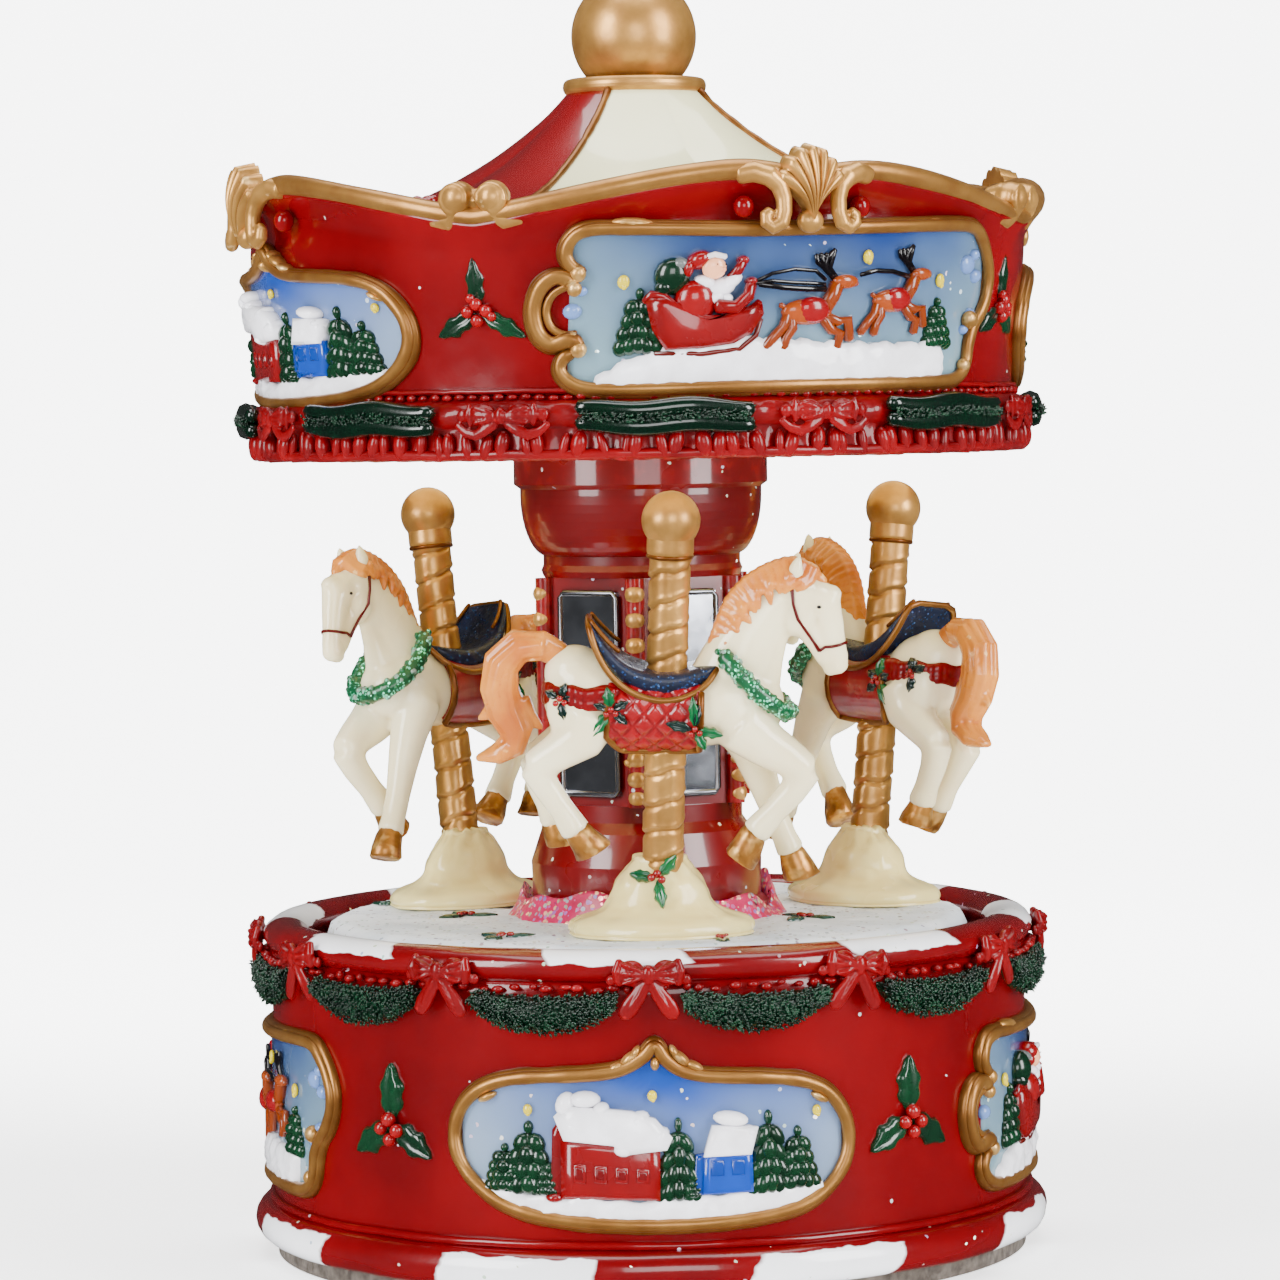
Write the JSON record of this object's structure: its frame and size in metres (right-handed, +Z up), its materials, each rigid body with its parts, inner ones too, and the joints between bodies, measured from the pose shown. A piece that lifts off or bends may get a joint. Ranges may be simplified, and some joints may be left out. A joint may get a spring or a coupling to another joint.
{
  "type": "carousel music box",
  "caption": "Wind-up carousel music box: a round base with a movement, a turntable with horses on poles, a mirrored column and a tented canopy with raised winter scenes.",
  "frame": {"origin": "centre of the underside of the foot, on the surface that the music box stands on", "axes": "+Z up along the axis that the turntable turns about; -Y is the front; +X is to the right"},
  "size_m": [0.106, 0.1074, 0.1648],
  "materials": {
    "red_paint": "cast resin, high gloss red paint with faint glitter",
    "dark_paint": "cast resin, dull dark red inside face",
    "gold_paint": "cast resin, brushed-on metallic gold paint",
    "cream_paint": "cast resin, glossy cream paint",
    "snow_paint": "cast resin, rough white snow paint with glitter",
    "scene_resin": "cast resin, milky blue with hand-painted raised scenes",
    "ivory_resin": "milky translucent ivory resin, glossy",
    "garland_paint": "cast resin, glossy dark green with red bows",
    "mirror": "silvered plate with a bevelled edge",
    "felt": "pressed felt",
    "cover_plastic": "black moulded plastic, fine grain",
    "steel": "bright steel",
    "plated_steel": "nickel-plated steel",
    "zinc": "die-cast zinc, satin",
    "brass": "satin brass"
  },
  "bodies": {
    "base": {"base_drum": "red_paint", "base_deck": "dark_paint", "foot_pad": "felt", "bottom_cover": "cover_plastic", "cover_screws": "steel", "shaft_bush": "brass", "base_garland": "garland_paint", "movement_bed": "zinc", "comb": "steel", "comb_screws": "brass", "bed_screws": "steel", "governor_bracket": "brass", "base_plaque_1": "scene_resin", "base_plaque_2": "scene_resin", "base_plaque_3": "scene_resin", "base_plaque_4": "scene_resin"},
    "carousel": {"spring_barrel": "zinc", "barrel_crown": "zinc", "mainspring": "steel", "drive_shaft": "steel", "turntable": "snow_paint", "turntable_hub": "zinc", "column": "red_paint", "mirror_1": "mirror", "mirror_2": "mirror", "mirror_3": "mirror", "mirror_4": "mirror", "mirror_5": "mirror", "mirror_6": "mirror", "ceiling": "cream_paint", "frieze_wall": "red_paint", "frieze_lip": "gold_paint", "border": "red_paint", "shells": "gold_paint", "roof": "cream_paint", "finial": "gold_paint", "frieze_plaque_1": "scene_resin", "frieze_plaque_2": "scene_resin", "frieze_plaque_3": "scene_resin", "frieze_plaque_4": "scene_resin", "mound_1": "cream_paint", "mound_2": "cream_paint", "mound_3": "cream_paint", "pole_1": "gold_paint", "pole_2": "gold_paint", "pole_3": "gold_paint", "horse_1": "ivory_resin", "horse_2": "ivory_resin", "horse_3": "ivory_resin"},
    "cylinder": {"tune_cylinder": "brass", "cylinder_pinion": "steel", "cylinder_gear": "brass"},
    "governor_wheel_set": {"governor_wheel": "brass"},
    "governor_fan_set": {"governor_worm": "steel", "governor_fan": "zinc"},
    "key": {"winding_arbor": "steel", "winding_key": "plated_steel"}
  },
  "joints": [
    {"name": "carousel_spin", "type": "hinge", "parent": "base", "child": "carousel", "pos_m": [0, 0, 0.036], "axis": [0, 0, 1], "continuous": true},
    {"name": "cylinder_spin", "type": "hinge", "parent": "base", "child": "cylinder", "pos_m": [0.0236, 0, 0.02255], "axis": [1, 0, 0], "continuous": true},
    {"name": "governor_wheel_spin", "type": "hinge", "parent": "base", "child": "governor_wheel_set", "pos_m": [0.0359, 0.00786, 0.02255], "axis": [1, 0, 0], "continuous": true},
    {"name": "governor_fan_spin", "type": "hinge", "parent": "base", "child": "governor_fan_set", "pos_m": [0.0359, 0.01481, 0.02255], "axis": [0, 0, 1], "continuous": true},
    {"name": "key_turn", "type": "hinge", "parent": "base", "child": "key", "pos_m": [0, 0, 0.01], "axis": [0, 0, 1], "range_deg": [0, 1260]}
  ],
  "couplings": [
    {"joint": "cylinder_spin", "follows": "carousel_spin", "ratio": 3},
    {"joint": "governor_wheel_spin", "follows": "carousel_spin", "ratio": -10},
    {"joint": "governor_fan_spin", "follows": "carousel_spin", "ratio": 300}
  ]
}
